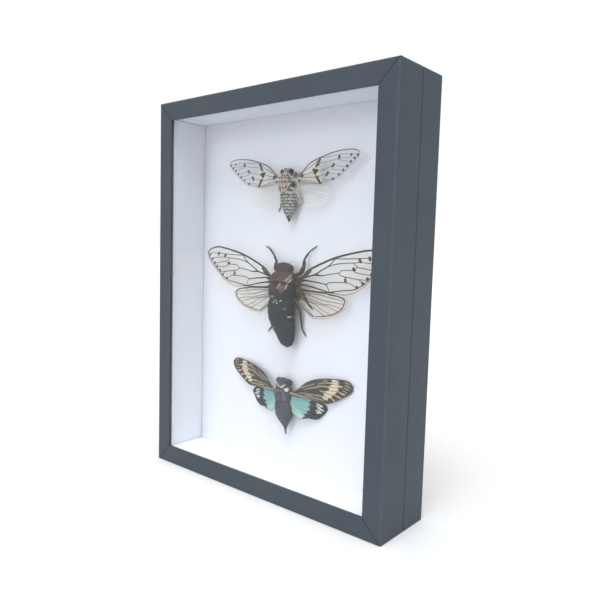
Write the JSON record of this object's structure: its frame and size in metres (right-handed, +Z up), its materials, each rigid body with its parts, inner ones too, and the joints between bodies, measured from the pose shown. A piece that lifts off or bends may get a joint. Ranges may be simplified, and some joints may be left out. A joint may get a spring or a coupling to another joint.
{
  "type": "framed cicada specimens",
  "caption": "Mounted cicadas with spread wings on a white board, behind glass in a deep slate-grey box frame that stands on its edge or hangs.",
  "frame": {"origin": "middle of the case's base, on the surface it stands on", "axes": "+Z up the case, +Y from the glass to the back, +X to the right when the glass is looked at"},
  "size_m": [0.189, 0.045, 0.25],
  "materials": {
    "slate_frame": "matte slate-grey lacquer with a fine grain",
    "clear_glass": "clear picture glass",
    "white_card": "matte white",
    "brown_board": "raw hardboard",
    "steel_sheet": "bright zinc-plated",
    "white_insect": "dry chitin, cream with black spots, clear spotted wings",
    "dark_insect": "dry chitin, brown-black, clear wings with brown veins",
    "turquoise_insect": "dry chitin, slate black, brown and cream forewings, turquoise hindwings"
  },
  "bodies": {
    "root": {"front_rail_top": "slate_frame", "front_rail_bottom": "slate_frame", "front_rail_left": "slate_frame", "front_rail_right": "slate_frame", "back_rail_top": "slate_frame", "back_rail_bottom": "slate_frame", "back_rail_left": "slate_frame", "back_rail_right": "slate_frame", "glass_pane": "clear_glass", "liner_top": "white_card", "liner_bottom": "white_card", "liner_left": "white_card", "liner_right": "white_card", "mount_board": "white_card", "backing_board": "brown_board", "backing_point_1": "steel_sheet", "backing_point_2": "steel_sheet", "backing_point_3": "steel_sheet", "backing_point_4": "steel_sheet", "backing_point_5": "steel_sheet", "backing_point_6": "steel_sheet", "sawtooth_hanger": "steel_sheet", "hanger_nail_left": "steel_sheet", "hanger_nail_right": "steel_sheet", "cicada_white": "white_insect", "cicada_dark": "dark_insect", "cicada_turquoise": "turquoise_insect"}
  },
  "joints": []
}
